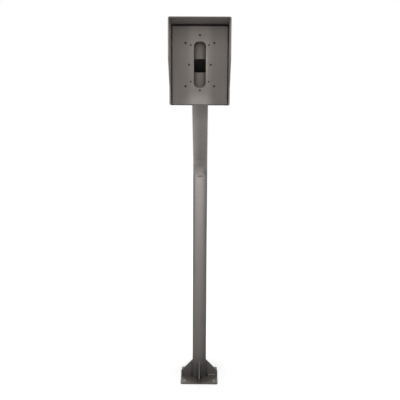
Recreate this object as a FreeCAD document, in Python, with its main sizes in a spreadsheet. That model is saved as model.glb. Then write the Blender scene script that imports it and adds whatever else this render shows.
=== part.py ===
import FreeCAD, Part
import math
import os
import re

import Sketcher

# Gate intercom post: a bent square tube on a gusseted base plate, with a hooded mounting panel
# for an intercom at its upper end.
#
# Frame: millimetres, +Z up, the front of the head towards -Y, +X to the right of somebody who
# stands in front. The origin lies on the axis of the post, on the underside of the base plate.

SIZES = [
    # base plate
    ("plate_side", 137, "side of the square base plate"),
    ("plate_thick", 6, "thickness of the base plate"),
    ("plate_corner", 8, "corner radius of the base plate"),
    ("anchor_edge", 14, "anchor hole centre to the plate's edge"),
    ("anchor_hole", 13, "diameter of the anchor holes"),
    ("entry_margin", 2, "wall of the tube to the edge of the cable entry"),
    # post
    ("tube_width", 50, "outside width of the square tube"),
    ("tube_wall", 3, "wall of the tube"),
    ("tube_corner", 5, "outside corner radius of the tube"),
    ("bend_height", 765, "height at which the bend starts"),
    ("bend_radius", 110, "radius of the bend on the tube's centreline"),
    ("bend_angle", 45, "forward lean of the arm, degrees"),
    ("dish_depth", 1.3, "depth of the crushed inner face of the bend"),
    ("dish_width", 34, "width of the crushed inner face of the bend"),
    ("crease_depth", 2.4, "depth of the crease at the start of the bend"),
    ("crease_width", 26, "width of the crease"),
    ("crease_open", 4, "opening of the crease at the face of the tube"),
    # gussets
    ("gusset_thick", 5, "thickness of a gusset"),
    ("gusset_height", 61, "height of a gusset on the tube, above the plate"),
    ("gusset_nose", 16, "height of the clipped nose, above the plate"),
    # head
    ("port_height", 1120, "height of the cable port's centre"),
    ("port_margin", 2.5, "wall of the tube's mouth to the edge of the cable port"),
    ("port_corner", 8, "corner radius of the cable port"),
    ("back_thick", 3, "thickness of the back plate"),
    ("back_inset", 6, "back plate to the rear edge of the hood"),
    ("panel_width", 162, "width of the mounting panel"),
    ("panel_above", 110.5, "port's centre to the upper edge of the panel"),
    ("panel_below", 115.5, "port's centre to the lower edge of the panel"),
    ("panel_depth", 30, "depth of the folded panel"),
    ("panel_sheet", 2, "sheet of the panel"),
    ("panel_bend", 3, "outside bend radius of the panel"),
    ("panel_corner", 6, "radius of the panel's welded corners"),
    ("slot_width", 35, "width of the cable slot"),
    ("slot_height", 131, "height of the cable slot"),
    ("slot_corner", 14, "corner radius of the cable slot"),
    ("outer_wide", 83.5, "outer hole pattern, across"),
    ("outer_tall", 123, "outer hole pattern, upright"),
    ("outer_hole", 5, "diameter of the outer holes"),
    ("inner_wide", 52.5, "inner hole pattern, across"),
    ("inner_tall", 104, "inner hole pattern, upright"),
    ("inner_rise", 3.5, "centre of the inner pattern above the port's centre"),
    ("inner_hole", 3.6, "diameter of the inner holes"),
    ("middle_wide", 63, "pitch of the two holes beside the slot"),
    ("middle_hole", 4.5, "diameter of the holes beside the slot"),
    ("axial_tall", 156.5, "pitch of the two holes above and below the slot"),
    ("axial_rise", 5, "centre of that pair above the port's centre"),
    ("axial_hole", 5, "diameter of the holes above and below the slot"),
    ("side_gap", 2.5, "gap between the panel and the hood's sides"),
    ("top_gap", 4, "gap between the panel and the hood's roof"),
    ("hood_sheet", 3, "sheet of the hood"),
    ("hood_bend", 1, "inside bend radius of the hood"),
    ("roof_reach", 95, "roof's front edge before the panel"),
    ("side_reach", 35, "sides' lower front edge before the panel"),
    ("slope_top", 126, "start of the sloping front edge above the hood's foot"),
    ("slope_foot", 50, "end of the sloping front edge above the hood's foot"),
    # welds
    ("weld_leg", 4, "leg of the fillet welds on the base"),
    ("weld_toe", 0.4, "blunt toe of a fillet weld"),
    ("weld_end", 6, "weld's end to the nose or top of a gusset"),
    ("arm_leg", 5, "leg of the fillet weld behind the back plate"),
    ("hood_leg", 4, "leg of the short welds behind the head"),
    ("panel_leg", 2, "leg of the short welds in the gap"),
    ("stitch_length", 26, "length of a short weld"),
    ("stitch_pitch", 82, "pitch of the short welds on the sides"),
    ("roof_pitch", 90, "pitch of the short welds under the roof"),
]

doc = FreeCAD.newDocument("gate_intercom_post")
sheet = doc.addObject("Spreadsheet::Sheet", "Sizes")
for row, (alias, number, meaning) in enumerate(SIZES, start=1):
    sheet.set(f"A{row}", meaning)
    sheet.set(f"B{row}", str(number))
    sheet.setAlias(f"B{row}", alias)
doc.recompute()


def cells(formula):
    """The formula with each size's name pointed at its cell; only names of sizes hold an underscore."""
    return re.sub(r"[a-z]+_[a-z]+", lambda name: "Sizes." + name.group(), formula)


def value(formula):
    return float(sheet.evalExpression(cells(formula)))


# Places worked out from the sizes
HALF_PLATE = "plate_side / 2"
HALF_TUBE = "tube_width / 2"
ANCHOR = "(plate_side / 2 - anchor_edge)"
RISE = "(port_height - bend_height - bend_radius * sin(bend_angle))"
MOUTH = f"(bend_radius * (1 - cos(bend_angle)) + {RISE} * tan(bend_angle))"
MOUTH_TALL = "(tube_width / sin(bend_angle))"
BACK_FRONT = f"({MOUTH} + back_thick)"
PANEL_FRONT = f"({BACK_FRONT} + panel_depth)"
HOOD_REAR = f"({MOUTH} - back_inset)"
HOOD_FRONT = f"({PANEL_FRONT} + roof_reach)"
HOOD_INNER = "(panel_width / 2 + side_gap)"
HEAD_FOOT = "(port_height - panel_below)"
PANEL_TOP = "(port_height + panel_above)"
ROOF = f"({PANEL_TOP} + top_gap)"
PORT_SIDE = "(tube_width - 2 * tube_wall - 2 * port_margin)"

# The tube's outside and inside: half a width and a corner radius
TUBE = [(HALF_TUBE, "tube_corner"), (f"{HALF_TUBE} - tube_wall", "tube_corner - tube_wall")]


def new_body(name):
    body = doc.addObject("PartDesign::Body", name)
    body.Label = name
    return body


def new_sketch(body, name, plane, offset="0"):
    """A sketch on one of the body's origin planes, moved along the plane's normal."""
    sketch = body.newObject("Sketcher::SketchObject", name)
    support = next(item for item in body.Origin.OriginFeatures if item.Role == plane)
    sketch.AttachmentSupport = [(support, "")]
    sketch.MapMode = "FlatFace"
    sketch.AttachmentOffset = FreeCAD.Placement(FreeCAD.Vector(0, 0, value(offset)), FreeCAD.Rotation())
    sketch.setExpression("AttachmentOffset.Base.z", cells(offset))
    return sketch


def bind(sketch, kind, places, formula):
    """A dimension of the sketch that follows a formula."""
    index = sketch.addConstraint(Sketcher.Constraint(kind, *places, value(formula)))
    sketch.setExpression(f"Constraints[{index}]", cells(formula))


def pin(sketch, item, point, across, upright):
    """Hold a point of the sketch at its distances from the sketch's origin."""
    for kind, formula in (("DistanceX", across), ("DistanceY", upright)):
        if value(formula) >= 0:
            bind(sketch, kind, (-1, 1, item, point), formula)
        else:
            bind(sketch, kind, (item, point, -1, 1), f"-({formula})")


def add_polygon(sketch, corners):
    """A closed outline of straight lines through corners, each two formulas."""
    spots = [FreeCAD.Vector(value(across), value(upright), 0) for across, upright in corners]
    lines = []
    for start, end in zip(spots, spots[1:] + spots[:1]):
        lines.append(sketch.addGeometry(Part.LineSegment(start, end), False))
    for index, line in enumerate(lines):
        sketch.addConstraint(Sketcher.Constraint("Coincident", line, 2, lines[(index + 1) % len(lines)], 1))
        pin(sketch, line, 1, *corners[index])


def add_rectangle(sketch, half, low, high):
    """A rectangle about the sketch's upright axis, between two levels."""
    add_polygon(sketch, [(f"-({half})", low), (half, low), (half, high), (f"-({half})", high)])


def add_outline(sketch, corners):
    """A closed outline of level and upright lines; a corner is two formulas and a radius or None."""
    spots = [FreeCAD.Vector(value(across), value(upright), 0) for across, upright, _ in corners]
    radii = [value(radius) if radius else 0 for _, _, radius in corners]
    count = len(corners)
    steps = [(spots[(index + 1) % count] - spots[index]).normalize() for index in range(count)]
    lines = []
    for index, step in enumerate(steps):
        following = (index + 1) % count
        start = spots[index] + step * radii[index]
        end = spots[following] - step * radii[following]
        lines.append(sketch.addGeometry(Part.LineSegment(start, end), False))
        level = abs(step.y) < 0.5
        sketch.addConstraint(Sketcher.Constraint("Horizontal" if level else "Vertical", lines[index]))
        place_line(sketch, lines[index], level, corners[index])
    for index, (_, _, radius) in enumerate(corners):
        before, after = lines[index - 1], lines[index]
        if not radius:
            sketch.addConstraint(Sketcher.Constraint("Coincident", before, 2, after, 1))
            continue
        join_with_arc(sketch, before, after, spots[index], steps[index - 1], steps[index], radius)


def place_line(sketch, line, level, corner):
    """Hold a level line at its height, or an upright line at its distance from the sketch's origin."""
    across, upright, _ = corner
    kind, formula = ("DistanceY", upright) if level else ("DistanceX", across)
    if value(formula) >= 0:
        bind(sketch, kind, (-1, 1, line, 1), formula)
    else:
        bind(sketch, kind, (line, 1, -1, 1), f"-({formula})")


def join_with_arc(sketch, before, after, corner, arriving, leaving, radius):
    """Round the corner between two lines that meet at a right angle."""
    r = value(radius)
    left_turn = arriving.x * leaving.y - arriving.y * leaving.x > 0
    centre = corner - arriving * r + leaving * r
    start = math.atan2(-leaving.y, -leaving.x)
    end = math.atan2(arriving.y, arriving.x)
    circle = Part.Circle(centre, FreeCAD.Vector(0, 0, 1), r)
    if left_turn:
        arc = Part.ArcOfCircle(circle, start, end)
        first, last = 1, 2
    else:
        arc = Part.ArcOfCircle(circle, end, start)
        first, last = 2, 1
    item = sketch.addGeometry(arc, False)
    sketch.addConstraint(Sketcher.Constraint("Tangent", before, 2, item, first))
    sketch.addConstraint(Sketcher.Constraint("Tangent", item, last, after, 1))
    bind(sketch, "Radius", (item,), radius)


def add_rounded(sketch, left, right, low, high, radius):
    """A rectangle between four formulas, with its corners rounded."""
    corners = ((left, low), (right, low), (right, high), (left, high))
    add_outline(sketch, [(*corner, radius) for corner in corners])


def add_centred(sketch, wide, middle, tall, radius):
    """A rounded rectangle about the sketch's upright axis, from its half width and half height."""
    add_rounded(sketch, f"-({wide})", wide, f"{middle} - {tall}", f"{middle} + {tall}", radius)


def add_circle(sketch, across, upright, radius):
    centre = FreeCAD.Vector(value(across), value(upright), 0)
    circle = sketch.addGeometry(Part.Circle(centre, FreeCAD.Vector(0, 0, 1), value(radius)), False)
    bind(sketch, "Radius", (circle,), radius)
    pin(sketch, circle, 3, across, upright)


def add_segment(sketch, centre, radius, chord):
    """The part of a circle, centred on the sketch's upright axis, above a level chord."""
    r, middle, low = value(radius), value(centre), value(chord)
    angle = math.asin((low - middle) / r)
    circle = Part.Circle(FreeCAD.Vector(0, middle, 0), FreeCAD.Vector(0, 0, 1), r)
    arc = sketch.addGeometry(Part.ArcOfCircle(circle, angle, math.pi - angle), False)
    reach = r * math.cos(angle)
    ends = (FreeCAD.Vector(-reach, low, 0), FreeCAD.Vector(reach, low, 0))
    line = sketch.addGeometry(Part.LineSegment(*ends), False)
    sketch.addConstraint(Sketcher.Constraint("Coincident", arc, 2, line, 1))
    sketch.addConstraint(Sketcher.Constraint("Coincident", line, 2, arc, 1))
    bind(sketch, "Radius", (arc,), radius)
    pin(sketch, arc, 3, "0", centre)
    for end in (1, 2):
        bind(sketch, "DistanceY", (line, end, -1, 1), f"-({chord})")


def add_axis(sketch, start, end):
    """A construction line between two pairs of formulas, for a revolved cut."""
    spots = [FreeCAD.Vector(value(across), value(upright), 0) for across, upright in (start, end)]
    line = sketch.addGeometry(Part.LineSegment(*spots), True)
    pin(sketch, line, 1, *start)
    pin(sketch, line, 2, *end)


def extrude(body, sketch, name, kind, length, side="One side", backwards=False):
    """A pad or pocket of the sketch by a formula's length."""
    feature = body.newObject(f"PartDesign::{kind}", name)
    feature.Profile = sketch
    feature.Length = value(length)
    feature.setExpression("Length", cells(length))
    feature.SideType = side
    feature.Reversed = backwards
    return feature


def cut_volume(body, feature):
    """Recompute, and stop if a feature that should take material away took none."""
    doc.recompute()
    before = feature.BaseFeature.Shape.Volume
    if feature.Shape.Volume > before - 0.01:
        raise RuntimeError(f"{body.Name}: {feature.Name} removes nothing")


def tube_path(sketch):
    """The bend and the arm, along the tube's centreline in the side view."""
    centre = FreeCAD.Vector(-value("bend_radius"), value("bend_height"), 0)
    angle = math.radians(value("bend_angle"))
    circle = Part.Circle(centre, FreeCAD.Vector(0, 0, 1), value("bend_radius"))
    head = circle.value(angle)
    run = value(f"{RISE} / cos(bend_angle) + tube_width")
    tip = head + FreeCAD.Vector(-math.sin(angle), math.cos(angle), 0) * run
    bend = sketch.addGeometry(Part.ArcOfCircle(circle, 0, angle), False)
    arm = sketch.addGeometry(Part.LineSegment(head, tip), False)
    sketch.addConstraint(Sketcher.Constraint("Tangent", bend, 2, arm, 1))
    pin(sketch, bend, 3, "-bend_radius", "bend_height")
    bind(sketch, "DistanceY", (-1, 1, bend, 1), "bend_height")
    bind(sketch, "Radius", (bend,), "bend_radius")
    bind(sketch, "DistanceY", (-1, 1, arm, 1), "bend_height + bend_radius * sin(bend_angle)")
    bind(sketch, "DistanceY", (-1, 1, arm, 2), "port_height + tube_width * cos(bend_angle)")


def tube_section(sketch, half, radius):
    add_rounded(sketch, f"-({half})", half, f"-({half})", half, radius)


def tube_sections(body, height, sections):
    """A sketch of square sections about the post's axis, each half a width and a corner radius."""
    sketch = new_sketch(body, f"{body.Name}_section", "XY_Plane", height)
    for half, radius in sections:
        tube_section(sketch, half, radius)
    return sketch


def sweep_tube(body, kind, sections):
    """Sweep square sections along the centreline of the bend and the arm."""
    section = tube_sections(body, "bend_height", sections)
    path = new_sketch(body, f"{body.Name}_path", "YZ_Plane")
    tube_path(path)
    sweep = body.newObject(f"PartDesign::{kind}Pipe", f"{body.Name}_sweep")
    sweep.Profile = section
    sweep.Spine = (path, [])
    doc.recompute()
    return sweep


def loft(body, kind, name, sections):
    """A ruled solid between sketches."""
    feature = body.newObject(f"PartDesign::{kind}Loft", name)
    feature.Profile = sections[0]
    feature.Sections = sections[1:]
    feature.Ruled = True
    doc.recompute()
    return feature


def front_edges(feature, forward):
    """Names of the feature's edges that lie in the upright plane at a distance before the post's axis."""
    plane = -value(forward)
    names = []
    for number, edge in enumerate(feature.Shape.Edges, start=1):
        box = edge.BoundBox
        if abs(box.YMin - plane) < 0.001 and abs(box.YMax - plane) < 0.001:
            names.append(f"Edge{number}")
    return names


def round_edges(body, feature, name, edges, radius):
    fillet = body.newObject("PartDesign::Fillet", name)
    fillet.Base = (feature, edges)
    fillet.Radius = value(radius)
    fillet.setExpression("Radius", cells(radius))
    doc.recompute()
    return fillet


def groove(body, sketch, name):
    """Cut a full turn of the sketch about its construction line."""
    cut = body.newObject("PartDesign::Groove", name)
    cut.Profile = sketch
    cut.ReferenceAxis = (sketch, ["Axis0"])
    cut.Angle = 360
    cut_volume(body, cut)
    return cut


def make_base_plate():
    body = new_body("base_plate")
    outline = new_sketch(body, "plate_outline", "XY_Plane")
    add_rounded(outline, f"-{HALF_PLATE}", HALF_PLATE, f"-{HALF_PLATE}", HALF_PLATE, "plate_corner")
    extrude(body, outline, "plate", "Pad", "plate_thick")
    doc.recompute()
    holes = new_sketch(body, "plate_holes", "XY_Plane")
    add_circle(holes, "0", "0", f"{HALF_TUBE} - tube_wall - entry_margin")
    for across in (f"-{ANCHOR}", ANCHOR):
        for deep in (f"-{ANCHOR}", ANCHOR):
            add_circle(holes, across, deep, "anchor_hole / 2")
    cut_volume(body, extrude(body, holes, "plate_drilling", "Pocket", "plate_thick", backwards=True))
    return body


def make_post_tube():
    """The upright run of the tube, up to the crease at the start of its bend."""
    body = new_body("post_tube")
    extrude(body, tube_sections(body, "plate_thick", TUBE), "upright", "Pad", "bend_height - plate_thick")
    return body


def make_arm_tube():
    """The same tube from the crease on: its bend and the arm, cut upright at the mouth."""
    body = new_body("arm_tube")
    sweep_tube(body, "Additive", TUBE)
    mouth = new_sketch(body, "mouth", "XZ_Plane", MOUTH)
    add_rectangle(mouth, "tube_width", f"port_height - {MOUTH_TALL}", f"port_height + {MOUTH_TALL}")
    cut_volume(body, extrude(body, mouth, "mouth_cut", "Pocket", "2 * tube_width", backwards=True))
    crush_bend(body)
    return body


def crush_bend(body):
    """Crush the inner wall of the bend: a shallow trough along it, and a sharp crease over the post's lip.

    The trough fades out at the arm. The crease's slope is drawn out to twice its depth, where it is twice
    as tall as at the face of the tube.
    """
    trough = new_sketch(body, f"{body.Name}_trough", "XY_Plane", "bend_height")
    radius = "((dish_width / 2) ^ 2 + dish_depth ^ 2) / (2 * dish_depth)"
    centre = f"dish_depth - {HALF_TUBE} - {radius}"
    chord = f"-({HALF_TUBE} + dish_depth)"
    add_segment(trough, centre, radius, chord)
    add_axis(trough, ("-tube_width", "-bend_radius"), ("tube_width", "-bend_radius"))
    groove(body, trough, f"{body.Name}_trough_cut")

    crease = new_sketch(body, f"{body.Name}_crease", "YZ_Plane")
    apex = f"crease_depth - {HALF_TUBE}"
    turning = f"{apex} - ((crease_width / 2) ^ 2 + crease_depth ^ 2) / (2 * crease_depth)"
    outer = f"{apex} - 2 * crease_depth"
    add_polygon(crease, [
        (outer, "bend_height + 2 * crease_open"),
        (apex, "bend_height"),
        (apex, "bend_height - crease_open"),
        (outer, "bend_height - crease_open"),
    ])
    add_axis(crease, (turning, "bend_height - crease_open"), (turning, "bend_height + crease_open"))
    groove(body, crease, f"{body.Name}_crease_cut")


def make_gusset(name, turn):
    body = new_body(name)
    side = new_sketch(body, f"{name}_side", "XZ_Plane")
    add_polygon(side, [
        (HALF_TUBE, "plate_thick"),
        (HALF_PLATE, "plate_thick"),
        (HALF_PLATE, "plate_thick + gusset_nose"),
        (HALF_TUBE, "plate_thick + gusset_height"),
    ])
    extrude(body, side, f"{name}_plate", "Pad", "gusset_thick", side="Symmetric")
    turn_about_post(body, turn)
    return body


def turn_about_post(body, turn):
    body.Placement = FreeCAD.Placement(FreeCAD.Vector(), FreeCAD.Rotation(FreeCAD.Vector(0, 0, 1), turn))


def foot_frustum(body, kind):
    """The space of the tube's foot and the fillet weld round it."""
    low = new_sketch(body, f"{body.Name}_low", "XY_Plane", "plate_thick")
    tube_section(low, f"{HALF_TUBE} + weld_leg", "tube_corner + weld_leg")
    high = new_sketch(body, f"{body.Name}_high", "XY_Plane", "plate_thick + weld_leg")
    tube_section(high, f"{HALF_TUBE} + weld_toe", "tube_corner + weld_toe")
    return loft(body, kind, f"{body.Name}_frustum", [low, high])


def make_foot_weld():
    body = new_body("foot_weld")
    foot_frustum(body, "Additive")
    tube = new_sketch(body, "foot_tube", "XY_Plane", "plate_thick")
    tube_section(tube, *TUBE[0])
    cut_volume(body, extrude(body, tube, "foot_tube_cut", "Pocket", "2 * weld_leg", backwards=True))
    for plane in ("XZ_Plane", "YZ_Plane"):
        name = f"foot_slot_{plane[0].lower()}"
        slot = new_sketch(body, name, plane)
        high = "plate_thick + 2 * weld_leg"
        add_rectangle(slot, f"{HALF_TUBE} + 2 * weld_leg", "plate_thick - weld_leg", high)
        cut_volume(body, extrude(body, slot, f"{name}_cut", "Pocket", "gusset_thick", side="Symmetric"))
    return body


def make_gusset_weld(name, turn):
    """Fillets on both sides of a gusset, along the plate and up the tube."""
    body = new_body(name)
    near = "gusset_thick / 2"
    far = f"({near} + weld_leg)"
    along = new_sketch(body, f"{name}_along", "YZ_Plane", HALF_TUBE)
    up = new_sketch(body, f"{name}_up", "XY_Plane", "plate_thick")
    for mark in ("", "-"):
        add_polygon(along, [
            (f"{mark}({near})", "plate_thick"),
            (f"{mark}{far}", "plate_thick"),
            (f"{mark}({near})", "plate_thick + weld_leg"),
        ])
        add_polygon(up, [
            (HALF_TUBE, f"{mark}({near})"),
            (f"{HALF_TUBE} + weld_leg", f"{mark}({near})"),
            (HALF_TUBE, f"{mark}{far}"),
        ])
    extrude(body, along, f"{name}_on_plate", "Pad", f"{HALF_PLATE} - {HALF_TUBE} - weld_end")
    doc.recompute()
    extrude(body, up, f"{name}_on_tube", "Pad", "gusset_height - weld_end")
    doc.recompute()
    cut_volume(body, foot_frustum(body, "Subtractive"))
    turn_about_post(body, turn)
    return body


def make_back_plate():
    body = new_body("back_plate")
    outline = new_sketch(body, "back_outline", "XZ_Plane", MOUTH)
    add_outline(outline, [
        (f"-{HOOD_INNER}", HEAD_FOOT, None),
        (HOOD_INNER, HEAD_FOOT, None),
        (HOOD_INNER, ROOF, "hood_bend"),
        (f"-{HOOD_INNER}", ROOF, "hood_bend"),
    ])
    half = f"({PORT_SIDE} / 2)"
    add_centred(outline, half, "port_height", half, "port_corner")
    extrude(body, outline, "back_sheet", "Pad", "back_thick")
    return body


def make_arm_weld():
    body = new_body("arm_weld")
    sections = []
    for name, forward, drop, spread in (
        ("arm_weld_plate", MOUTH, "0", "arm_leg"),
        ("arm_weld_toe", f"{MOUTH} - arm_leg", "arm_leg / tan(bend_angle)", "weld_toe"),
    ):
        section = new_sketch(body, name, "XZ_Plane", forward)
        wide = f"({HALF_TUBE} + {spread})"
        tall = f"({MOUTH_TALL} / 2 + {spread})"
        add_centred(section, wide, f"port_height - {drop}", tall, f"tube_corner + {spread}")
        sections.append(section)
    loft(body, "Additive", "arm_weld_block", sections)
    cut_volume(body, sweep_tube(body, "Subtractive", TUBE[:1]))
    return body


def make_mounting_panel():
    body = new_body("mounting_panel")
    half = "(panel_width / 2)"
    front = new_sketch(body, "panel_front", "XZ_Plane", BACK_FRONT)
    add_rounded(front, f"-{half}", half, HEAD_FOOT, PANEL_TOP, "panel_corner")
    block = extrude(body, front, "panel_block", "Pad", "panel_depth")
    doc.recompute()
    round_edges(body, block, "panel_outer_bend", front_edges(block, PANEL_FRONT), "panel_bend")

    inside = new_sketch(body, "panel_inside", "XZ_Plane", BACK_FRONT)
    inner = f"({half} - panel_sheet)"
    add_rounded(inside, f"-{inner}", inner, f"{HEAD_FOOT} + panel_sheet", f"{PANEL_TOP} - panel_sheet",
                "panel_corner - panel_sheet")
    hollow = extrude(body, inside, "panel_hollow", "Pocket", "panel_depth - panel_sheet", backwards=True)
    cut_volume(body, hollow)
    edges = front_edges(hollow, f"{PANEL_FRONT} - panel_sheet")
    round_edges(body, hollow, "panel_inner_bend", edges, "panel_bend - panel_sheet")

    openings = new_sketch(body, "panel_openings", "XZ_Plane", BACK_FRONT)
    add_centred(openings, "slot_width / 2", "port_height", "slot_height / 2", "slot_corner")
    for pattern, centre in (("outer", "port_height"), ("inner", "port_height + inner_rise")):
        for across in (f"-{pattern}_wide / 2", f"{pattern}_wide / 2"):
            for mark in ("-", "+"):
                upright = f"{centre} {mark} {pattern}_tall / 2"
                add_circle(openings, across, upright, f"{pattern}_hole / 2")
    for mark in ("-", ""):
        add_circle(openings, f"{mark}middle_wide / 2", "port_height", "middle_hole / 2")
    for mark in ("-", "+"):
        add_circle(openings, "0", f"port_height + axial_rise {mark} axial_tall / 2", "axial_hole / 2")
    cut_volume(body, extrude(body, openings, "panel_punching", "Pocket", "panel_depth", backwards=True))
    return body


def make_hood():
    body = new_body("hood")
    outer = f"({HOOD_INNER} + hood_sheet)"
    fold = new_sketch(body, "hood_fold", "XZ_Plane", HOOD_REAR)
    add_outline(fold, [
        (f"-{outer}", HEAD_FOOT, None),
        (f"-{HOOD_INNER}", HEAD_FOOT, None),
        (f"-{HOOD_INNER}", ROOF, "hood_bend"),
        (HOOD_INNER, ROOF, "hood_bend"),
        (HOOD_INNER, HEAD_FOOT, None),
        (outer, HEAD_FOOT, None),
        (outer, f"{ROOF} + hood_sheet", "hood_bend + hood_sheet"),
        (f"-{outer}", f"{ROOF} + hood_sheet", "hood_bend + hood_sheet"),
    ])
    extrude(body, fold, "hood_sheet_metal", "Pad", f"{HOOD_FRONT} - {HOOD_REAR}")
    doc.recompute()

    # The sides' front edges run upright, slope back and run upright again down to the foot.
    taper = new_sketch(body, "hood_taper", "YZ_Plane")
    lower_edge = f"-({PANEL_FRONT} + side_reach)"
    beyond = f"-({HOOD_FRONT} + hood_sheet)"
    below = f"{HEAD_FOOT} - hood_sheet"
    add_polygon(taper, [
        (beyond, below),
        (lower_edge, below),
        (lower_edge, f"{HEAD_FOOT} + slope_foot"),
        (f"-{HOOD_FRONT}", f"{HEAD_FOOT} + slope_top"),
        (beyond, f"{HEAD_FOOT} + slope_top"),
    ])
    cut_volume(body, extrude(body, taper, "hood_taper_cut", "Pocket", "2 * panel_width", side="Symmetric"))
    return body


def make_stitches(name, plane, triangle, starts):
    """A row of short fillet welds of one triangular section, each from a start along the plane's normal."""
    body = new_body(name)
    for number, start in enumerate(starts, start=1):
        section = new_sketch(body, f"{name}_section_{number}", plane, start)
        add_polygon(section, triangle)
        extrude(body, section, f"{name}_run_{number}", "Pad", "stitch_length")
        doc.recompute()
    return body


def side_stitches(name, mark, corner, toe, face, crest):
    """Three short welds up a side of the head, in the corner between its side and the back plate.

    The corner and the toe are distances from the middle, the face and the crest from the post's axis.
    """
    triangle = [
        (f"{mark}({corner})", f"-({face})"),
        (f"{mark}({toe})", f"-({face})"),
        (f"{mark}({corner})", f"-({crest})"),
    ]
    low = "port_height - stitch_length / 2"
    return make_stitches(name, "XY_Plane", triangle, [f"{low} - stitch_pitch", low, f"{low} + stitch_pitch"])


def make_head_welds():
    pieces = []
    in_gap = ("panel_width / 2", "panel_width / 2 + panel_leg", BACK_FRONT, f"{BACK_FRONT} + panel_leg")
    behind = (HOOD_INNER, f"{HOOD_INNER} - hood_leg", MOUTH, f"{MOUTH} - hood_leg")
    for side, mark in (("left", "-"), ("right", "")):
        pieces.append(side_stitches(f"panel_weld_{side}", mark, *in_gap))
        pieces.append(side_stitches(f"hood_weld_{side}", mark, *behind))
    under_roof = [
        (f"-{MOUTH}", ROOF),
        (f"-{MOUTH}", f"{ROOF} - hood_leg"),
        (f"-({MOUTH} - hood_leg)", ROOF),
    ]
    starts = ["-roof_pitch / 2 - stitch_length / 2", "roof_pitch / 2 - stitch_length / 2"]
    pieces.append(make_stitches("hood_weld_top", "YZ_Plane", under_roof, starts))
    return pieces


def export(pieces):
    """Check every object and every shape, then write one STEP file for each piece."""
    doc.recompute()
    for item in doc.Objects:
        if "Invalid" in item.State or "Error" in item.State:
            raise RuntimeError(f"{item.Label} failed: {item.State}")
    os.makedirs("parts", exist_ok=True)
    for piece in pieces:
        shape = piece.Shape
        if shape.isNull() or not shape.isValid() or not shape.Solids:
            raise RuntimeError(f"{piece.Label} has no valid solid")
        shape.exportStep(os.path.join("parts", f"{piece.Label}.step"))
        print(f"{piece.Label}: {len(shape.Solids)} solid(s), {shape.Volume:.1f} mm3")


TURNS = {"right": 0, "rear": 90, "left": 180, "front": 270}

pieces = [make_base_plate(), make_post_tube(), make_arm_tube(), make_foot_weld()]
for place, turn in TURNS.items():
    pieces.append(make_gusset(f"gusset_{place}", turn))
    pieces.append(make_gusset_weld(f"gusset_weld_{place}", turn))
pieces += [make_back_plate(), make_arm_weld(), make_mounting_panel(), make_hood()]
pieces += make_head_welds()
export(pieces)
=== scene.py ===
import math
from collections import namedtuple

import bpy
from mathutils import Matrix, Vector, noise


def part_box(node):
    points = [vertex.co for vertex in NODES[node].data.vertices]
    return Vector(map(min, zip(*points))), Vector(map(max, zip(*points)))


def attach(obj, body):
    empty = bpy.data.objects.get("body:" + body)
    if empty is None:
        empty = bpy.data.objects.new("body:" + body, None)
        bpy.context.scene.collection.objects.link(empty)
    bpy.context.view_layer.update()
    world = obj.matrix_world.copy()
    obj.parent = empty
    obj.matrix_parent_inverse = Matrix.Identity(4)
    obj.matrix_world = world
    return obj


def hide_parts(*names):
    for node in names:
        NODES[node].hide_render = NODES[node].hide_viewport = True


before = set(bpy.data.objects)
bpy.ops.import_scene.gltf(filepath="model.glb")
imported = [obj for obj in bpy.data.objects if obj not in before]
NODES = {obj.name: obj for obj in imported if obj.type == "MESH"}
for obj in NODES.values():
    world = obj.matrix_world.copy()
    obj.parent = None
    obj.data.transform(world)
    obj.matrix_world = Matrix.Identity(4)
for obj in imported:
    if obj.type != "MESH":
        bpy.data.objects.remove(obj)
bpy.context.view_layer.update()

# Gate intercom post. The CAD nodes get procedural steel finishes with painted light and shade, and
# rippled beads replace the flat fillet welds. Metres, +Z up, front -Y, origin on the post's axis
# under the base plate.

PLATE_LOW, PLATE_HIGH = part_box("base_plate")
TUBE_LOW, TUBE_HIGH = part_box("post_tube")
BACK_LOW, BACK_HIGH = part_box("back_plate")
PANEL_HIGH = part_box("mounting_panel")[1]
HOOD_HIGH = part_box("hood")[1]
GUSSET_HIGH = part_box("gusset_right")[1]

UP = Vector((0, 0, 1))
DIAGONAL = math.sqrt(0.5)
PLACES = ("right", "rear", "left", "front")

PLATE_TOP = PLATE_HIGH.z
ANCHOR = 0.0545
HALF_GUSSET = GUSSET_HIGH.y
FRONT = TUBE_LOW.y
HALF_TUBE = TUBE_HIGH.x
TUBE_CORNER = 0.005
CREASE = TUBE_HIGH.z
BEND_TOP = 0.815
PORT_HEIGHT = 1.120
MOUTH = BACK_HIGH.y
ARM_LINE = (PORT_HEIGHT + MOUTH) * DIAGONAL
HOOD_INNER = HOOD_HIGH.x - 0.003

scene = bpy.context.scene
scene.view_settings.view_transform = "Standard"


# Materials. A mark is a place on the part where the steel is painted lighter or darker, as painted
# light and shade.

# A spot fades over its outer soft share. A reach of 0 means any distance along that axis.
Spot = namedtuple("Spot", "point reach soft gain")

# A band has side 1 or -1 for one half of the part, or 0 for both. It grows across from none_at to
# full_at, and upwards over heights: none, full, still full, none again.
Band = namedtuple("Band", "side none_at full_at heights gain")


class Nodes:
    """Adds linked nodes to a node tree, from an empty start."""

    def __init__(self, tree):
        self.tree = tree
        tree.nodes.clear()

    def add(self, kind, inputs=(), **settings):
        node = self.tree.nodes.new(kind)
        for key, setting in settings.items():
            setattr(node, key, setting)
        for key, source in dict(inputs).items():
            if isinstance(source, bpy.types.NodeSocket):
                self.tree.links.new(source, node.inputs[key])
            else:
                node.inputs[key].default_value = source
        return node

    def math(self, operation, first, second=0.0, clamp=False):
        node = self.add("ShaderNodeMath", {0: first, 1: second},
                        operation=operation, use_clamp=clamp)
        return node.outputs[0]

    def seen_rays(self):
        """1 for the rays that show the background to the camera, straight or in a gloss."""
        path = self.add("ShaderNodeLightPath").outputs
        seen = self.math("MAXIMUM", path["Is Camera Ray"], path["Is Glossy Ray"])
        return self.math("MAXIMUM", seen, path["Is Transmission Ray"])


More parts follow.
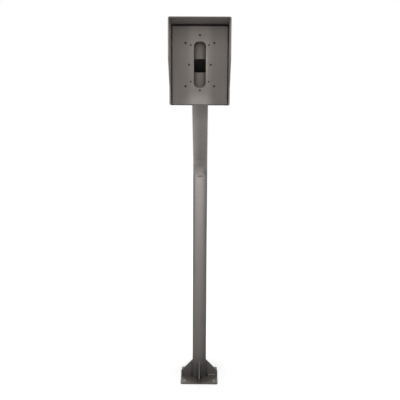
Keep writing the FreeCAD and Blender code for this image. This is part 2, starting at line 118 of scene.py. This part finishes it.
class Shader(Nodes):
    """A material in the part's own coordinates."""

    def __init__(self, name):
        self.material = bpy.data.materials.new(name)
        self.material.use_nodes = True
        super().__init__(self.material.node_tree)
        self.coordinates = self.add("ShaderNodeTexCoord").outputs["Object"]

    def axis(self, name):
        return self.add("ShaderNodeSeparateXYZ", {"Vector": self.coordinates}).outputs[name]

    def vector_math(self, operation, first, second=(0, 0, 0)):
        return self.add("ShaderNodeVectorMath", {0: first, 1: second}, operation=operation).outputs

    def noise(self, scale, stretch=(1, 1, 1), detail=2.0, rough=0.5, offset=(0, 0, 0)):
        """Noise about zero, from -0.5 to 0.5, with features of about 1 / scale metres."""
        mapping = self.add("ShaderNodeMapping", {
            "Vector": self.coordinates, "Scale": stretch, "Location": offset})
        texture = self.add("ShaderNodeTexNoise", {
            "Vector": mapping.outputs[0], "Scale": scale, "Detail": detail, "Roughness": rough})
        return self.math("SUBTRACT", texture.outputs["Fac"], 0.5)

    def ramp(self, source, low, high, to_low=0.0, to_high=1.0, curve="SMOOTHSTEP"):
        limits = {"From Min": low, "From Max": high, "To Min": to_low, "To Max": to_high}
        node = self.add("ShaderNodeMapRange", {"Value": source, **limits}, interpolation_type=curve)
        return node.outputs[0]

    def near(self, point, inner, outer, squash=(1, 1, 1)):
        """1 within inner metres of a point, fading to 0 at outer."""
        shifted = self.vector_math("SUBTRACT", self.coordinates, point)[0]
        scaled = self.vector_math("MULTIPLY", shifted, squash)[0]
        length = self.vector_math("LENGTH", scaled)["Value"]
        return self.ramp(length, inner, outer, 1.0, 0.0)

    def spot(self, mark):
        squash = [1 / length if length else 0 for length in mark.reach]
        return self.near(mark.point, 1.0 - mark.soft, 1.0, squash)

    def band(self, mark):
        x = self.axis("X")
        across = self.math("MULTIPLY", x, mark.side) if mark.side else self.math("ABSOLUTE", x)
        none_below, full_from, full_to, none_above = mark.heights
        mask = self.ramp(across, mark.none_at, mark.full_at)
        mask = self.math("MULTIPLY", mask, self.ramp(self.axis("Z"), none_below, full_from))
        return self.math("MULTIPLY", mask, self.ramp(self.axis("Z"), none_above, full_to))

    def sum(self, total, shares, clamp=False):
        """A start value plus the given share of each texture."""
        for number, (texture, share) in enumerate(shares, 1):
            part = self.math("MULTIPLY", texture, share)
            total = self.math("ADD", total, part, clamp and number == len(shares))
        return total

    def shade(self, tone, mask, gain):
        """A tone that gains this share of itself where the mask is 1."""
        gained = self.math("ADD", 1.0, self.math("MULTIPLY", mask, gain))
        return self.math("MULTIPLY", tone, gained)

    def tinted(self, colour, tint, factor, tone):
        """A colour mixed with its tint by a factor, times a tone."""
        mix = self.add("ShaderNodeMix", {"Factor": factor}, data_type="RGBA")
        shifted = [channel * shift for channel, shift in zip(colour, tint)]
        for key, end in (("A", colour), ("B", shifted)):
            socket = [item for item in mix.inputs if item.name == key and item.type == "RGBA"][0]
            socket.default_value = (*end, 1.0)
        mixed = [item for item in mix.outputs if item.type == "RGBA"][0]
        scaled = self.add("ShaderNodeVectorMath", {0: mixed, "Scale": tone}, operation="SCALE")
        return scaled.outputs[0]

    def finish(self, colour, roughness, height, depth, metallic, bevel=0.0, specular=0.5):
        """Close the material with a bump of height times depth metres, over rounded edges."""
        relief = {"Height": height, "Distance": depth, "Strength": 1.0}
        if bevel:
            relief["Normal"] = self.add("ShaderNodeBevel", {"Radius": bevel}, samples=4).outputs[0]
        bump = self.add("ShaderNodeBump", relief)
        surface = self.add("ShaderNodeBsdfPrincipled", {
            "Base Color": colour, "Roughness": roughness, "Metallic": metallic,
            "Specular IOR Level": specular, "Normal": bump.outputs[0]})
        self.add("ShaderNodeOutputMaterial", {"Surface": surface.outputs[0]})
        return self.material


WARM = (1.05, 0.99, 0.95)
STRAW = (1.06, 0.99, 0.90)
ALONG = {"X": (0.02, 1, 1), "Z": (1, 1, 0.02)}
STEEL_RELIEF = 0.00006
WELD_RELIEF = 0.00008

# pairs of limits between which a mask fades
CUT_EDGE = (0.35, 0.55)             # how squarely a face looks forward or back
HOOD_SIDE = (HOOD_INNER - 0.001, HOOD_INNER)
INNER_FACE = (-0.06, -0.08)         # a face's x times its normal's x
BORE_WALL = (0.0226, 0.0234)        # off the arm's axis, between its inner and outer faces
BORE_START = (0.85, 0.87)           # height
HARD_EDGE = 0.0002


def hood_painted_light(s, tone, edge_loss, side_share, inner_gain):
    """Painted shade on the cut edges, by side_share less on the sides, and painted light on the
    inner faces of the sides.
    """
    normal = s.add("ShaderNodeNewGeometry").outputs["True Normal"]
    facing = s.add("ShaderNodeSeparateXYZ", {"Vector": normal}).outputs
    cut = s.ramp(s.math("ABSOLUTE", facing["Y"]), *CUT_EDGE)
    on_sides = s.ramp(s.math("ABSOLUTE", s.axis("X")), *HOOD_SIDE)
    tone = s.shade(tone, s.shade(cut, on_sides, -side_share), -edge_loss)
    outward = s.math("MULTIPLY", facing["X"], s.axis("X"))
    return s.shade(tone, s.ramp(outward, *INNER_FACE), inner_gain)


def inside_arm(s):
    """1 on the arm's inner walls and 0 on its outer faces."""
    slant = s.vector_math("DOT_PRODUCT", s.coordinates, (0, DIAGONAL, DIAGONAL))["Value"]
    off_axis = s.math("ABSOLUTE", s.math("SUBTRACT", slant, ARM_LINE))
    off_axis = s.math("MAXIMUM", off_axis, s.math("ABSOLUTE", s.axis("X")))
    within = s.ramp(off_axis, *BORE_WALL, 1.0, 0.0)
    return s.math("MULTIPLY", within, s.ramp(s.axis("Z"), *BORE_START))


def steel(name, colour, roughness, grain, metallic=0.75, bevel=0.0, fade=None, spots=(), bands=(),
          edges=None, bore=0.0, rear=None):
    """Satin brushed steel with streaks along an axis, blotches and fine specks.

    fade darkens downwards, as painted shade: (low, high, share left at the low end). spots and
    bands are painted light and shade. edges is for the hood: what hood_painted_light takes. bore is
    the share lost inside the arm. rear is (y, gain) for a face behind y, which stands in the open,
    out of the painted shade on the rest.
    """
    s = Shader(name)
    fine = s.noise(1600, ALONG[grain], detail=3)
    streak = s.noise(260, ALONG[grain], detail=4, rough=0.6)
    blotch = s.noise(14, detail=4, rough=0.55, offset=(3.1, 1.7, 0.4))
    cloud = s.noise(4, detail=2, offset=(0.3, 5.2, 2.2))
    speck = s.ramp(s.noise(900, detail=1), 0.27, 0.34)

    tone = s.sum(1.0, ((streak, 0.16), (fine, 0.08), (blotch, 0.22), (cloud, 0.14), (speck, -0.12)))
    if fade:
        low, high, share = fade
        tone = s.math("MULTIPLY", tone, s.ramp(s.axis("Z"), low, high, share, 1.0, "LINEAR"))
    for mark in spots:
        tone = s.shade(tone, s.spot(mark), mark.gain)
    for mark in bands:
        tone = s.shade(tone, s.band(mark), mark.gain)
    if edges:
        tone = hood_painted_light(s, tone, *edges)
    if bore:
        tone = s.shade(tone, inside_arm(s), -bore)
    if rear:
        open_from, gain = rear
        behind = s.ramp(s.axis("Y"), open_from - HARD_EDGE, open_from + HARD_EDGE)
        tone = s.shade(tone, behind, gain)
    painted = s.tinted(colour, WARM, s.math("ADD", 0.5, blotch), tone)
    rough = s.sum(roughness, ((streak, 0.10), (blotch, 0.14), (speck, 0.15)), clamp=True)
    height = s.sum(0.0, ((fine, 0.6), (streak, 0.6), (speck, -0.5)))
    return s.finish(painted, rough, height, STEEL_RELIEF, metallic, bevel)


def weld_steel(name, colour, spots, rises):
    """As-welded bead: duller, with straw and dark tints in bands and a grainy skin.

    A rise is (low, high, factor): the tone grows by the factor between two heights.
    """
    s = Shader(name)
    grain = s.noise(1200, detail=3)
    blotch = s.noise(70, detail=3, offset=(1.2, 0.4, 2.0))
    tone = s.sum(1.0, ((grain, 0.25), (blotch, 0.35)))
    for mark in spots:
        tone = s.shade(tone, s.spot(mark), mark.gain)
    for low, high, factor in rises:
        tone = s.math("MULTIPLY", tone, s.ramp(s.axis("Z"), low, high, 1.0, factor))
    painted = s.tinted(colour, STRAW, s.ramp(blotch, -0.05, 0.15), tone)
    rough = s.sum(0.46, ((blotch, 0.25),), clamp=True)
    return s.finish(painted, rough, grain, WELD_RELIEF, metallic=0.6, specular=0.25)


# one steel throughout: the hood is lighter as painted light, the panel and back plate darker as
# painted shade in the hood, and the plate and gussets darker as painted shade at the foot
LIT_HOOD_STEEL = (0.246, 0.233, 0.229)
SHADED_PANEL_STEEL = (0.1115, 0.1040, 0.0972)
SHADED_BACK_STEEL = (0.0265, 0.0239, 0.0208)
TUBE_STEEL = (0.183, 0.1745, 0.1686)
SHADED_PLATE_STEEL = (0.1190, 0.1135, 0.1060)
SHADED_GUSSET_STEEL = (0.0900, 0.0855, 0.0830)
WELD_STEEL = (0.034, 0.032, 0.0305)

# parts of a band that reaches over the whole width or height
ANY_WIDTH = (0, 0.100, 0.090)
ANY_HEIGHT = (-1, 0, 2, 3)

# painted glints on the anchor holes: their walls lighter, partly as bare cut steel, and the far rim
# of each lighter still
plate_spots = []
for x in (-ANCHOR, ANCHOR):
    for y in (-ANCHOR, ANCHOR):
        far_rim = (x, y + 0.0065, PLATE_TOP - 0.001)
        plate_spots.append(Spot((x, y, 0), (0.0067, 0.0067, 0), 0.02, 0.9))
        plate_spots.append(Spot(far_rim, (0.0066, 0.0040, 0.0038), 0.5, 1.5))
# shade on the middle of the front edge
plate_spots.append(Spot((0.001, PLATE_LOW.y, 0.002), (0.018, 0.003, 0.008), 0.8, -0.42))

tube_spots = [
    # painted shade on the crushed face of the bend, and painted light where the arm's face begins
    # above it
    Spot((0.002, -0.046, 0.805), (0.034, 0.030, 0.018), 0.8, -0.28),
    Spot((0.002, -0.058, 0.832), (0.024, 0.022, 0.008), 0.8, 0.22),
    # a painted highlight on the lap of the crease, and painted shade in its dark line
    Spot((0, FRONT, CREASE + 0.0016), (0.016, 0.008, 0.0020), 0.6, 0.20),
    Spot((0, FRONT, CREASE - 0.0016), (0.014, 0.008, 0.0025), 0.6, -0.52),
    # a painted highlight on the swell below the crease, and a small darker spot at its right
    Spot((-0.002, FRONT, CREASE - 0.016), (0.020, 0.012, 0.022), 0.7, 0.06),
    Spot((0.0085, FRONT, CREASE - 0.014), (0.004, 0.012, 0.006), 0.7, -0.22),
]
tube_bands = [
    # the post: painted shade on its left edge and right half, and a painted highlight on its right
    # edge
    Band(-1, 0.012, 0.024, (0.10, 0.66, 0.755, 0.785), -0.46),
    Band(1, 0.006, 0.020, (-1, 0, 0.776, 0.804), -0.24),
    Band(1, 0.006, 0.020, (0.20, 0.70, 0.776, 0.804), -0.28),
    Band(1, -0.002, 0.008, (-1, 0, 0.795, BEND_TOP), -0.08),
    Band(1, 0.021, 0.0245, (-1, 0, 0.80, 0.83), 0.40),
    # the arm: painted light on its left half and right edge
    Band(-1, -0.002, 0.024, (0.795, BEND_TOP, 2, 3), 0.45),
    Band(1, 0.020, 0.024, (BEND_TOP, 0.830, 2, 3), 0.10),
    # painted shade under the head and at the foot
    Band(*ANY_WIDTH, (0.94, 1.00, 2, 3), -0.27),
    Band(*ANY_WIDTH, (0, 0.035, 0.045, 0.110), -0.36),
]

# light on the strip of back plate that shows in the slot
back_spots = [Spot((-0.001, BACK_LOW.y, PORT_HEIGHT - 0.004), (0.021, 0.0028, 0.150), 0.9, 2.6)]

panel_spots = [
    # a painted pool of light at the foot, and a painted highlight beside the slot's right edge
    Spot((-0.003, 0, 1.006), (0.060, 0, 0.045), 0.8, 0.50),
    Spot((0.0195, 0, PORT_HEIGHT), (0.004, 0, 0.060), 0.5, 0.30),
]
panel_bands = [
    # painted light and shade: lighter in the middle and at the sides, darker on the right half and
    # at the top, much lighter on the folded sides, and darker on the lower lip
    Band(0, 0.044, 0.018, ANY_HEIGHT, 0.30),
    Band(0, 0.060, 0.070, ANY_HEIGHT, 0.10),
    Band(1, 0.018, 0.040, ANY_HEIGHT, -0.07),
    Band(*ANY_WIDTH, (1.180, 1.205, 2, 3), -0.08),
    Band(0, 0.0765, 0.0800, ANY_HEIGHT, 1.10),
    Band(*ANY_WIDTH, (-1, 0, 1.0055, 1.0080), -0.38),
]
# fixing holes darkened by a ring of painted shade round each: radius, height of the pattern's
# middle, spacing across and upwards
HOLE_SHADE_RING = 0.0009
for hole, middle, spacing_x, spacing_z in (
    (0.0025, PORT_HEIGHT, 0.0835, 0.123),
    (0.0018, PORT_HEIGHT + 0.0035, 0.0525, 0.104),
    (0.00225, PORT_HEIGHT, 0.063, 0),
    (0.0025, PORT_HEIGHT + 0.005, 0, 0.1565),
):
    reach = (hole + HOLE_SHADE_RING, 0, hole + HOLE_SHADE_RING)
    for x in sorted({-spacing_x / 2, spacing_x / 2}):
        for z in sorted({-spacing_z / 2, spacing_z / 2}):
            panel_spots.append(Spot((x, 0, middle + z), reach, 0.15, -0.95))

gusset_spots = [
    # painted shade on the front gusset: on its nose, its whole edge, and more on the left half of
    # that edge
    Spot((0, PLATE_LOW.y, 0.008), (0.01, 0.010, 0.016), 0.5, -0.45),
    Spot((0, -0.046, 0.040), (0.006, 0.036, 0.046), 0.3, -0.22),
    Spot((-0.0024, -0.046, 0.040), (0.0024, 0.036, 0.046), 0.4, -0.55),
]
weld_spots = [
    # a painted highlight on the bead at the right gusset, and painted shade round the tube's foot
    Spot((0.052, 0, PLATE_TOP), (0.024, 0.02, 0.01), 0.4, 1.2),
    Spot((0, 0, PLATE_TOP), (0.038, 0.038, 0.009), 0.2, -0.72),
]
# beads are lighter off the plate, and lighter again at the head
weld_rises = [(0.009, 0.012, 1.7), (0.3, 0.8, 2.0)]

FINISHES_AND_PAINTED_LIGHT = {
    # the tube's fade is painted shade, darker towards the foot
    "tube": steel("satin_tube", TUBE_STEEL, 0.44, "Z", fade=(0, 0.72, 0.46), spots=tube_spots,
                  bands=tube_bands, bore=0.48),
    # the hood's edges carry painted shade on the cut edges and painted light on the sides' inner
    # faces
    "hood": steel("satin_hood", LIT_HOOD_STEEL, 0.50, "X", metallic=0.6, bevel=0.0006,
                  edges=(0.78, 0.35, 0.85)),
    # the panel's fade is painted shade, darker low down
    "panel": steel("satin_panel", SHADED_PANEL_STEEL, 0.55, "Z", metallic=0.6, bevel=0.0004,
                   fade=(1.03, 1.20, 0.78), spots=panel_spots, bands=panel_bands),
    # the back plate's dark colour is painted shade in the hood; its rear face, in the open, is
    # lighter
    "back": steel("satin_back_plate", SHADED_BACK_STEEL, 0.52, "X", metallic=0.4, bevel=0.0004,
                  spots=back_spots, rear=(MOUTH - 0.001, 4.6)),
    # the plate's fade is painted shade on its edges, darker than its top
    "plate": steel("satin_base_plate", SHADED_PLATE_STEEL, 0.50, "X", bevel=0.0006,
                   fade=(0, 0.0059, 0.46), spots=plate_spots),
    "gusset": steel("satin_gusset", SHADED_GUSSET_STEEL, 0.50, "Z", bevel=0.0006, spots=gusset_spots),
    "weld": weld_steel("weld_bead", WELD_STEEL, weld_spots, weld_rises),
}
WEARERS = {"post_tube": "tube", "arm_tube": "tube", "hood": "hood", "mounting_panel": "panel",
           "back_plate": "back", "base_plate": "plate"}
WEARERS.update({f"gusset_{place}": "gusset" for place in PLACES})

for node_name, finish_name in WEARERS.items():
    node = NODES[node_name]
    for part_slot in node.material_slots:
        part_slot.material = FINISHES_AND_PAINTED_LIGHT[finish_name]
    if not node.material_slots:
        node.data.materials.append(FINISHES_AND_PAINTED_LIGHT[finish_name])


# Weld beads.

STEP = 0.0006           # between the rings of a bead
ACROSS = 8              # faces across its crest
CORNER_STEPS = 8        # of an outline, round one corner
TINY = 1e-9
CROWN = 0.13            # bulge of the crest, as a share of the bead's size
CREST_SHARE = 0.7       # of the bulge, along each wall
WANDER = 0.10           # change of size, as a share
WANDER_RATE = 70        # changes of size per metre
RUN_SEED = 3.7
LEG_SEED = 900
TIP = 0.04              # share of the size left at both ends
RIPPLE_PITCH = 0.0021
RIPPLE_BOW = 0.0014     # how far the middle of a ripple lags
RIPPLE_SHIFT = 0.0009   # between one run and the next
RIPPLE_HEIGHT = 0.055   # as a share of the leg
RIPPLE_RISE = 6         # a ripple rises over the first sixth of its pitch
RIPPLE_FALL = 1.6       # power of its fall


def distances_along(points):
    """Distance of each point from the first, along the line through them."""
    distances = [0.0]
    for a, b in zip(points, points[1:]):
        distances.append(distances[-1] + (b - a).length)
    return distances


def bead_runs(runs, leg):
    """Vertices and faces of fillet beads.

    A run is a list of (corner point, direction along one wall, direction along the other).
    """
    vertices, faces = [], []
    ring = ACROSS + 2
    for number, run in enumerate(runs):
        base = len(vertices)
        distances = distances_along([point for point, _, _ in run])
        for (point, first, second), along in zip(run, distances):
            to_end = min(along, distances[-1] - along)
            cap = math.sqrt(max(0.0, 1 - (1 - min(1.0, to_end / leg)) ** 2))
            seed = Vector((along * WANDER_RATE, number * RUN_SEED, leg * LEG_SEED))
            size = max(TIP, cap) * leg * (1 + WANDER * noise.noise(seed))
            vertices.append(point)
            for column in range(ACROSS + 1):
                t = column / ACROSS
                bow = 4 * t * (1 - t)
                ripples = (along + RIPPLE_BOW * bow + number * RIPPLE_SHIFT) / RIPPLE_PITCH
                phase = ripples - math.floor(ripples)
                profile = (1 - phase) ** RIPPLE_FALL * min(1.0, RIPPLE_RISE * phase)
                crown = (CROWN * size + RIPPLE_HEIGHT * leg * profile * cap) * bow * CREST_SHARE
                along_first, along_second = size * (1 - t) + crown, size * t + crown
                vertices.append(point + first * along_first + second * along_second)
        for index in range(len(run) - 1):
            for column in range(ring):
                a = base + index * ring + column
                b = base + index * ring + (column + 1) % ring
                faces.append((a, b, b + ring, a + ring))
        faces.append([base + column for column in reversed(range(ring))])
        faces.append([base + (len(run) - 1) * ring + column for column in range(ring)])
    return vertices, faces


def make_bead(name, runs, leg, *nodes):
    mesh = bpy.data.meshes.new(name)
    vertices, faces = bead_runs(runs, leg)
    mesh.from_pydata(vertices, [], faces)
    mesh.validate()
    for polygon in mesh.polygons:
        polygon.use_smooth = True
    piece = bpy.data.objects.new(name, mesh)
    scene.collection.objects.link(piece)
    bpy.context.view_layer.objects.active = piece
    piece.select_set(True)
    bpy.ops.object.mode_set(mode="EDIT")
    bpy.ops.mesh.select_all(action="SELECT")
    bpy.ops.mesh.normals_make_consistent(inside=False)
    bpy.ops.object.mode_set(mode="OBJECT")
    piece.select_set(False)
    mesh.materials.append(FINISHES_AND_PAINTED_LIGHT["weld"])
    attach(piece, "root")
    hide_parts(*nodes)


def straight(start, end, first, second):
    """A run along a straight corner."""
    start, end = Vector(start), Vector(end)
    count = max(2, math.ceil((end - start).length / STEP))
    return [(start.lerp(end, index / count), Vector(first), Vector(second))
            for index in range(count + 1)]


def turned(run, quarters):
    """A run turned about the post's axis."""
    turn = Matrix.Rotation(math.radians(90 * quarters), 3, "Z")
    return [tuple(turn @ item for item in place) for place in run]


def foot_run():
    """A run round one corner of the tube's foot, from the gusset on the right to the rear one."""
    edge = HALF_TUBE - TUBE_CORNER
    flat = edge - HALF_GUSSET
    arc = math.pi / 2 * TUBE_CORNER
    length = 2 * flat + arc
    count = math.ceil(length / STEP)
    run = []
    for index in range(count + 1):
        along = length * index / count
        if along < flat:
            out = Vector((1, 0, 0))
            point = Vector((HALF_TUBE, HALF_GUSSET + along, PLATE_TOP))
        elif along < flat + arc:
            angle = (along - flat) / TUBE_CORNER
            out = Vector((math.cos(angle), math.sin(angle), 0))
            point = Vector((edge, edge, PLATE_TOP)) + out * TUBE_CORNER
        else:
            out = Vector((0, 1, 0))
            point = Vector((edge - (along - flat - arc), HALF_TUBE, PLATE_TOP))
        run.append((point, out, UP))
    return run


def rounded_rectangle(half_wide, half_tall, radius, stretch):
    """Places round a rectangle, as (place, outward). The stretch makes its corners taller."""
    places = []
    for number, (right, up) in enumerate([(1, 1), (-1, 1), (-1, -1), (1, -1)]):
        centre = Vector((right * (half_wide - radius), up * (half_tall - radius * stretch)))
        for index in range(CORNER_STEPS + 1):
            angle = math.radians(90 * number + 90 * index / CORNER_STEPS)
            outward = Vector((math.cos(angle), math.sin(angle)))
            offset = Vector((outward.x * radius, outward.y * radius * stretch))
            places.append((centre + offset, outward))
    return places


def resampled(places, overlap):
    """A closed outline of (place, outward) in even steps, once round and on by the overlap."""
    loop = places + places[:1]
    marks = distances_along([place for place, _ in loop])
    length = marks[-1] + overlap
    count = math.ceil(length / STEP)
    result = []
    for index in range(count + 1):
        wrapped = length * index / count % marks[-1]
        segment = max(k for k in range(len(loop) - 1) if marks[k] <= wrapped + TINY)
        (start, start_out), (end, end_out) = loop[segment], loop[segment + 1]
        share = (wrapped - marks[segment]) / max(TINY, marks[segment + 1] - marks[segment])
        result.append((start.lerp(end, share), start_out.lerp(end_out, share).normalized()))
    return result


FOOT_LEG = 0.004
WELD_END = 0.006
ARM_LEG = 0.005
ARM_OVERLAP = 0.004
PANEL_LEG = 0.002
HOOD_LEG = 0.004
STITCH = 0.026
STITCH_PITCH = 0.082
ROOF_PITCH = 0.090

# round the foot of the tube, between the gussets
foot_runs = [turned(foot_run(), quarters) for quarters in range(4)]
make_bead("foot_bead", foot_runs, FOOT_LEG, "foot_weld")

# along both sides of each gusset, on the plate and on the tube
for quarters, place in enumerate(PLACES):
    runs = []
    for side in (1, -1):
        out = (0, side, 0)
        y = side * HALF_GUSSET
        corner = (HALF_TUBE, y, PLATE_TOP)
        runs.append(straight(corner, (PLATE_HIGH.x - WELD_END, y, PLATE_TOP), out, UP))
        runs.append(straight(corner, (HALF_TUBE, y, GUSSET_HIGH.z - WELD_END), out, (1, 0, 0)))
    make_bead(f"gusset_bead_{place}", [turned(run, quarters) for run in runs], FOOT_LEG,
              f"gusset_weld_{place}")

# round the mouth of the slanted arm, behind the back plate
ROOT_TWO = math.sqrt(2)
mouth = rounded_rectangle(HALF_TUBE, HALF_TUBE * ROOT_TWO, TUBE_CORNER, ROOT_TWO)
arm_run = [(Vector((place.x, MOUTH, PORT_HEIGHT + place.y)), Vector((out.x, 0, out.y)),
            Vector((0, 1, -1))) for place, out in resampled(mouth, ARM_OVERLAP)]
make_bead("arm_bead", [arm_run], ARM_LEG, "arm_weld")

# short runs inside the gap beside the panel, and behind the back plate
for side, name in ((-1, "left"), (1, "right")):
    for title, x, y, first, second, leg in (
        ("panel", PANEL_HIGH.x * side, BACK_LOW.y, (side, 0, 0), (0, -1, 0), PANEL_LEG),
        ("hood", BACK_HIGH.x * side, MOUTH, (-side, 0, 0), (0, 1, 0), HOOD_LEG),
    ):
        runs = []
        for step in (-1, 0, 1):
            low = PORT_HEIGHT + step * STITCH_PITCH - STITCH / 2
            runs.append(straight((x, y, low), (x, y, low + STITCH), first, second))
        make_bead(f"{title}_bead_{name}", runs, leg, f"{title}_weld_{name}")

# two short runs under the roof
roof = BACK_HIGH.z
runs = []
for side in (-1, 1):
    left = side * ROOF_PITCH / 2 - STITCH / 2
    runs.append(straight((left, MOUTH, roof), (left + STITCH, MOUTH, roof), (0, 0, -1), (0, 1, 0)))
make_bead("hood_bead_top", runs, HOOD_LEG, "hood_weld_top")


# Studio. The floor and the world are white only to the rays that show the background.

FLOOR_REACH = 30.0
FLOOR_TONE = 0.60
FLOOR_GLOW = 0.80       # near the post, where the lamps light the floor too
CONTACT_SHADE = 0.18    # taken from the glow close to the base plate
SKY_LIGHT = 0.02        # for the rays that light the object
floor_mesh = bpy.data.meshes.new("floor")
corners = [(x * FLOOR_REACH, y * FLOOR_REACH, 0) for x, y in ((-1, -1), (1, -1), (1, 1), (-1, 1))]
floor_mesh.from_pydata(corners, [], [(0, 1, 2, 3)])
floor = bpy.data.objects.new("floor", floor_mesh)
scene.collection.objects.link(floor)
paint = Shader("pale_floor")
diffuse = paint.add("ShaderNodeBsdfDiffuse", {"Color": (FLOOR_TONE, FLOOR_TONE, FLOOR_TONE, 1)})
origin = (0, 0, 0)
strength = paint.ramp(paint.near(origin, 0.3, 2.5), 0.0, 1.0, 1.0, FLOOR_GLOW)
contact = paint.math("MULTIPLY", paint.near(origin, 0.07, 0.30), CONTACT_SHADE)
strength = paint.math("SUBTRACT", strength, contact)
strength = paint.math("MULTIPLY", paint.seen_rays(), strength)
glow = paint.add("ShaderNodeEmission", {"Color": (1, 1, 1, 1), "Strength": strength})
both = paint.add("ShaderNodeAddShader", {0: diffuse.outputs[0], 1: glow.outputs[0]})
paint.add("ShaderNodeOutputMaterial", {"Surface": both.outputs[0]})
floor_mesh.materials.append(paint.material)

world = bpy.data.worlds.new("studio")
scene.world = world
world.use_nodes = True
sky = Nodes(world.node_tree)
strength = sky.math("ADD", sky.math("MULTIPLY", sky.seen_rays(), 1 - SKY_LIGHT), SKY_LIGHT)
background = sky.add("ShaderNodeBackground", {"Color": (1, 1, 1, 1), "Strength": strength})
sky.add("ShaderNodeOutputWorld", {"Surface": background.outputs[0]})

# lamps: place, target, size and power
for name, place, target, size, power in (
    ("key", (-1.3, -2.5, 2.0), (0, -0.1, 0.9), 1.9, 24.6),
    ("front", (0, -2.7, 1.0), (0, -0.1, 0.7), 1.4, 18.1),
    ("fill", (1.0, -2.6, 2.2), (0, -0.1, 0.9), 1.6, 11.4),
    ("side", (2.6, -0.9, 1.3), (0, -0.2, 0.8), 1.4, 5.1),
    ("top", (0, -0.6, 3.2), (0, -0.1, 0.7), 1.2, 37.6),
    ("back", (-0.6, 2.8, 1.8), (0, -0.1, 0.8), 1.8, 22.0),
):
    light = bpy.data.lights.new(name, "AREA")
    light.shape, light.size, light.energy = "SQUARE", size, power
    lamp = bpy.data.objects.new(name, light)
    lamp.location = place
    aim = Vector(target) - Vector(place)
    lamp.rotation_euler = aim.to_track_quat("-Z", "Y").to_euler()
    scene.collection.objects.link(lamp)


# Camera, at the photograph's viewing angle.

CAMERA_PLACE = Vector((0.0167, -1.9768, 0.9492))
PITCH, YAW, ROLL = (math.radians(angle) for angle in (7.88, -0.5, 0.3))
SENSOR_MM = 36.0
LENS_MM = 49.40

ahead = Vector((math.sin(YAW) * math.cos(PITCH), math.cos(YAW) * math.cos(PITCH), -math.sin(PITCH)))
level = Vector((math.cos(YAW), -math.sin(YAW), 0))
upright = level.cross(ahead)
right = level * math.cos(ROLL) + upright * math.sin(ROLL)
upward = upright * math.cos(ROLL) - level * math.sin(ROLL)

camera_data = bpy.data.cameras.new("camera")
camera_data.sensor_width = SENSOR_MM
camera_data.lens = LENS_MM
camera = bpy.data.objects.new("camera", camera_data)
rotation = Matrix((right, upward, -ahead)).transposed().to_4x4()
camera.matrix_world = Matrix.Translation(CAMERA_PLACE) @ rotation
scene.collection.objects.link(camera)
scene.camera = camera
